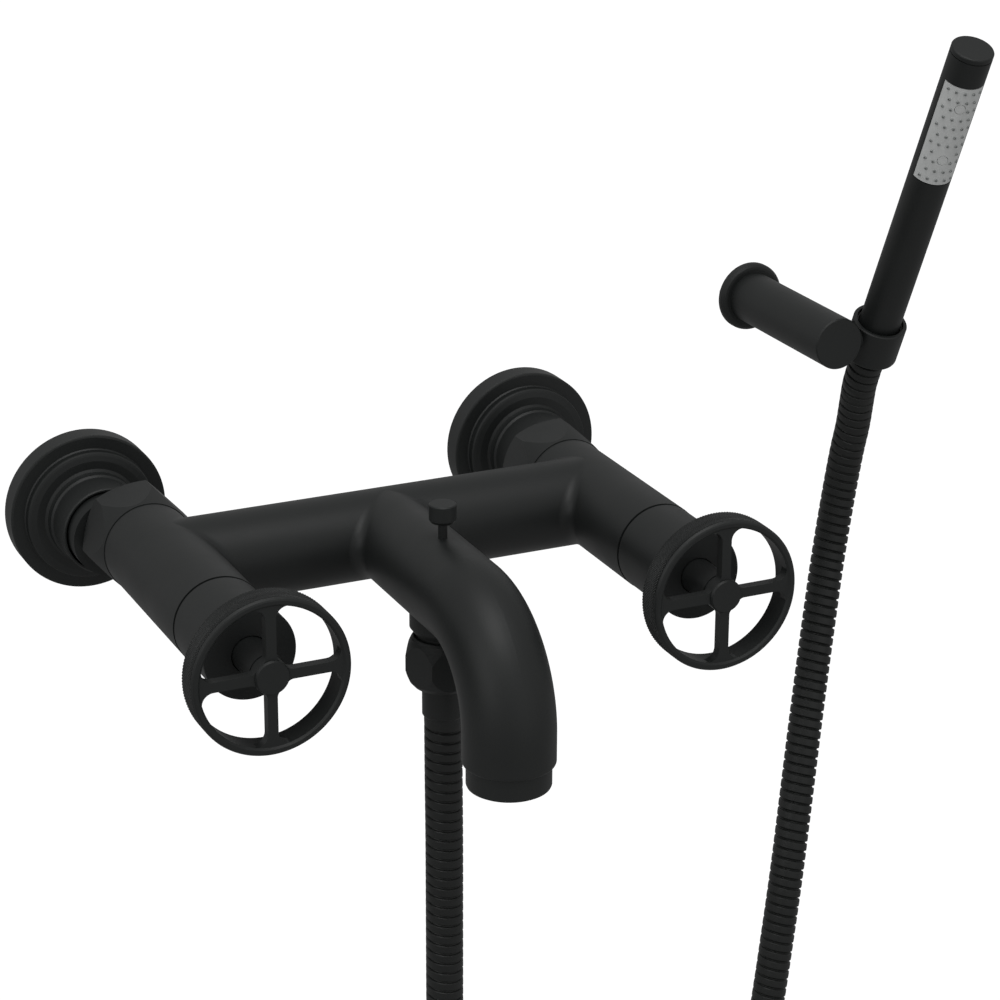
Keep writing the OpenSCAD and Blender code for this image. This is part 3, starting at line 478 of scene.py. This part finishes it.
class FILLER_OT_knurls(bpy.types.Operator):
    """Cuts the diamond knurl round both wheels"""
    bl_idname = "filler.knurls"
    bl_label = "Knurled rings"

    def execute(self, context):
        sizes = context.scene.filler_sizes
        for side in ("left", "right"):
            node = "knurled_ring_" + side
            low, high, middle = box_of(node)
            radius = (high[0] - low[0]) / 2
            inner = radius - 1.7 * MM
            # The surface is a depth over u diamonds round the ring and v diamonds across it. p
            # and q are whole numbers on the two sets of slanted grooves, where the depth is
            # full, and it falls to nothing in the middle of each diamond
            diamonds = round(2 * np.pi * radius / sizes.knurl_pitch)
            per = 6
            u = np.arange(diamonds * per) / per
            wide = high[1] - low[1]
            rows = round(wide / sizes.knurl_pitch * per)
            y = np.linspace(0, wide, rows)
            v = y / sizes.knurl_pitch
            p = u[None, :] + v[:, None]
            q = u[None, :] - v[:, None]
            valley = np.maximum(np.abs(p % 1 - 0.5), np.abs(q % 1 - 0.5)) * 2
            # The grooves run out at the front of the band, and fade into a small chamfer at its
            # back
            front, back = y[:, None], wide - y[:, None]
            depth = sizes.knurl_depth * valley ** 1.5 * np.clip(back / (0.6 * MM), 0, 1)
            r = radius - np.clip(0.5 * MM - back, 0, None) - depth \
                - np.clip(0.15 * MM - front, 0, None)
            turn = 2 * np.pi * u / diamonds
            walls = np.concatenate([np.full((1, len(u)), inner), r, np.full((1, len(u)), inner)])
            y_all = np.concatenate([[0], y, [wide]]) + low[1]
            points = np.stack([middle[0] + walls * np.cos(turn),
                               np.broadcast_to(y_all[:, None], walls.shape),
                               middle[2] - walls * np.sin(turn)], axis=-1)
            faces = grid_faces(len(y_all), len(u), close_rows=True)
            ring = put_mesh("diamond_knurl_" + side, points, faces, MATERIALS["matte_black"],
                            smooth=False)
            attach(ring, side + "_handle")
            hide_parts(node)
        return {"FINISHED"}


class FILLER_OT_fillets(bpy.types.Operator):
    """Rolls the fillets where the cross tube meets the barrels and where the spout leaves it"""
    bl_idname = "filler.fillets"
    bl_label = "Tube fillets"

    def execute(self, context):
        f = context.scene.filler_sizes.fillet
        tube_low, tube_high, tube_mid = box_of("cross_tube")
        tube_r = (tube_high[2] - tube_low[2]) / 2
        for side, sign in (("left", -1), ("right", 1)):
            low, high, mid = box_of("valve_barrel_" + side)
            barrel_r = (high[2] - low[2]) / 2
            local = crossing_fillet(barrel_r, tube_r, f)
            x, y, z = local[..., 0], local[..., 1], local[..., 2]
            points = np.stack([mid[0] - sign * x, tube_mid[1] + z, mid[2] + sign * y], axis=-1)
            piece = put_mesh("barrel_fillet_" + side, points,
                             grid_faces(points.shape[0], points.shape[1], close_rows=True),
                             MATERIALS["matte_black"])
            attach(piece, "root")
        # With two tubes of one size the ball would reach x = 0, so this one is a touch larger
        local = crossing_fillet(tube_r + 0.02 * MM, tube_r, f)
        x, y, z = local[..., 0], local[..., 1], local[..., 2]
        points = np.stack([z, tube_mid[1] - x, tube_mid[2] + y], axis=-1)
        piece = put_mesh("spout_fillet", points,
                         grid_faces(points.shape[0], points.shape[1], close_rows=True),
                         MATERIALS["matte_black"])
        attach(piece, "root")
        return {"FINISHED"}


def nozzle_places():
    """Angle across the spray face in degrees, and height above the hose joint in metres, of every
    nozzle. The rows hold five and four nozzles in turn, and leave out the two plugs."""
    places = []
    for row in range(SPRAY_ROWS):
        high = SPRAY_LOW + (row + 0.5) * (SPRAY_TOP - SPRAY_LOW) / SPRAY_ROWS
        for angle in ((-48, -24, 0, 24, 48) if row % 2 == 0 else (-36, -12, 12, 36)):
            across = math.radians(angle) * SPRAY_RADIUS
            if all(math.hypot(across, high - plug) > PLUG_CLEAR for plug in SPRAY_PLUGS):
                places.append((angle, high))
    return places


class FILLER_OT_nozzles(bpy.types.Operator):
    """Stands the soft nozzles on the spray face of the hand shower"""
    bl_idname = "filler.nozzles"
    bl_label = "Spray nozzles"

    def execute(self, context):
        sizes = context.scene.filler_sizes
        joint = next(j for j in frame["record"]["behaviour"]["joints"]
                     if j["name"] == "handset_turn")
        base, up = np.array(joint["pos_m"]), unit(np.array(joint["axis"]))
        across = np.array([1.0, 0.0, 0.0])
        front = np.cross(across, up)
        # A nozzle as a turned profile: distance from its own axis, height above the face
        foot, tall = sizes.nozzle_radius, sizes.nozzle_height
        profile = np.array([[foot, -0.3 * MM], [foot, 0.1 * MM], [0.8 * foot, tall],
                            [0.5 * foot, tall], [0.38 * foot, 0.1 * tall], [0.02 * foot, 0.0]])
        sides = 10
        turn = 2 * np.pi * np.arange(sides) / sides
        points, faces = [], []
        one = grid_faces(len(profile), sides)
        for angle, high in nozzle_places():
            a = math.radians(angle - SPRAY_TURN)
            out = math.cos(a) * front + math.sin(a) * across
            beside = np.cross(up, out)
            middle = base + high * up + SPRAY_RADIUS * out
            ring = np.cos(turn)[:, None] * beside + np.sin(turn)[:, None] * up
            grid = (middle + profile[:, 0, None, None] * ring[None]
                    + profile[:, 1, None, None] * out)
            start = len(points) * len(profile) * sides
            points.append(grid)
            faces.append(one + start)
        points = np.array(points)
        caps = []
        per = len(profile) * sides
        for n in range(len(points)):
            caps.append(list(range(n * per + sides - 1, n * per - 1, -1)))
            caps.append([n * per + per - sides + k for k in range(sides)])
        # The nozzles take the darker grey that paints their shade
        piece = put_mesh("spray_nozzles", points, np.concatenate(faces),
                         MATERIALS["nozzle_silicone"], caps=caps)
        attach(piece, "hand_shower")
        return {"FINISHED"}


class FILLER_OT_stage(bpy.types.Operator):
    """Lays the pale floor and sets the soft studio light"""
    bl_idname = "filler.stage"
    bl_label = "Stage"

    def execute(self, context):
        low, high = cad_box
        colours = context.scene.filler_colours
        level = low[2] - 12 * MM
        mesh = bpy.data.meshes.new("floor")
        half = 14
        mesh.from_pydata([(-half, -half, level), (half, -half, level), (half, half, level),
                          (-half, half, level)], [], [(0, 1, 2, 3)])
        floor = bpy.data.objects.new("floor", mesh)
        context.scene.collection.objects.link(floor)
        material = bpy.data.materials.new("painted_floor")
        material.use_nodes = True
        tree = material.node_tree
        tree.nodes.clear()
        seen = add_node(tree, "ShaderNodeLightPath")
        pale = (*colours.floor, 1)
        bright = add_node(tree, "ShaderNodeEmission", {"Color": pale, "Strength": 1.1})
        dim = add_node(tree, "ShaderNodeEmission", {"Color": pale, "Strength": 0.3})
        both = add_node(tree, "ShaderNodeMixShader", None,
                        {0: (seen, "Is Camera Ray"), 1: (dim, "Emission"), 2: (bright, "Emission")})
        add_node(tree, "ShaderNodeOutputMaterial", None, {"Surface": (both, "Shader")})
        mesh.materials.append(material)
        world = bpy.data.worlds.new("studio")
        world.use_nodes = True
        tree = world.node_tree
        tree.nodes.clear()
        seen = add_node(tree, "ShaderNodeLightPath")
        strength = add_node(tree, "ShaderNodeMapRange", {"To Min": 0.42, "To Max": 1.1},
                            {"Value": (seen, "Is Camera Ray")})
        sky = add_node(tree, "ShaderNodeBackground", {"Color": (1, 1, 1, 1)},
                       {"Strength": (strength, "Result")})
        add_node(tree, "ShaderNodeOutputWorld", None, {"Surface": (sky, "Background")})
        context.scene.world = world
        middle = Vector((0, -0.1, 0))
        for name, place, size, power in (
                ("top", (-0.2, -0.9, 2.3), 1.6, 21),
                ("left", (-2.2, -1.0, 1.0), 1.6, 8),
                ("front", (0.9, -2.6, 0.2), 2.4, 4.5)):
            light = bpy.data.lights.new(name, "AREA")
            light.size, light.energy = size, power
            lamp = bpy.data.objects.new(name, light)
            context.scene.collection.objects.link(lamp)
            lamp.location = place
            lamp.rotation_euler = (middle - Vector(place)).to_track_quat("-Z", "Y").to_euler()
        context.scene.view_settings.view_transform = "Standard"
        return {"FINISHED"}


class FILLER_PT_panel(bpy.types.Panel):
    """Lists the sizes, the colours and the steps"""
    bl_label = "Bath filler"
    bl_space_type = "VIEW_3D"
    bl_region_type = "UI"
    bl_category = "Bath filler"

    def draw(self, context):
        for group in (context.scene.filler_sizes, context.scene.filler_colours):
            for key in group.__annotations__:
                self.layout.prop(group, key)
        for step in STEPS:
            self.layout.operator(step.bl_idname)


STEPS = (FILLER_OT_camera, FILLER_OT_finishes, FILLER_OT_hose, FILLER_OT_knurls,
         FILLER_OT_fillets, FILLER_OT_nozzles, FILLER_OT_stage)
CLASSES = (FillerSizes, FillerColours, *STEPS, FILLER_PT_panel)


def register():
    """Makes the classes known and hangs the sizes and colours on the scene."""
    for each in CLASSES:
        bpy.utils.register_class(each)
    bpy.types.Scene.filler_sizes = PointerProperty(type=FillerSizes)
    bpy.types.Scene.filler_colours = PointerProperty(type=FillerColours)


def unregister():
    """Takes back what register() did."""
    del bpy.types.Scene.filler_sizes, bpy.types.Scene.filler_colours
    for each in reversed(CLASSES):
        bpy.utils.unregister_class(each)


def main():
    """Runs the steps in order."""
    register()
    for step in STEPS:
        group, name = step.bl_idname.split(".")
        getattr(getattr(bpy.ops, group), name)()


if __name__ == "__main__":
    main()
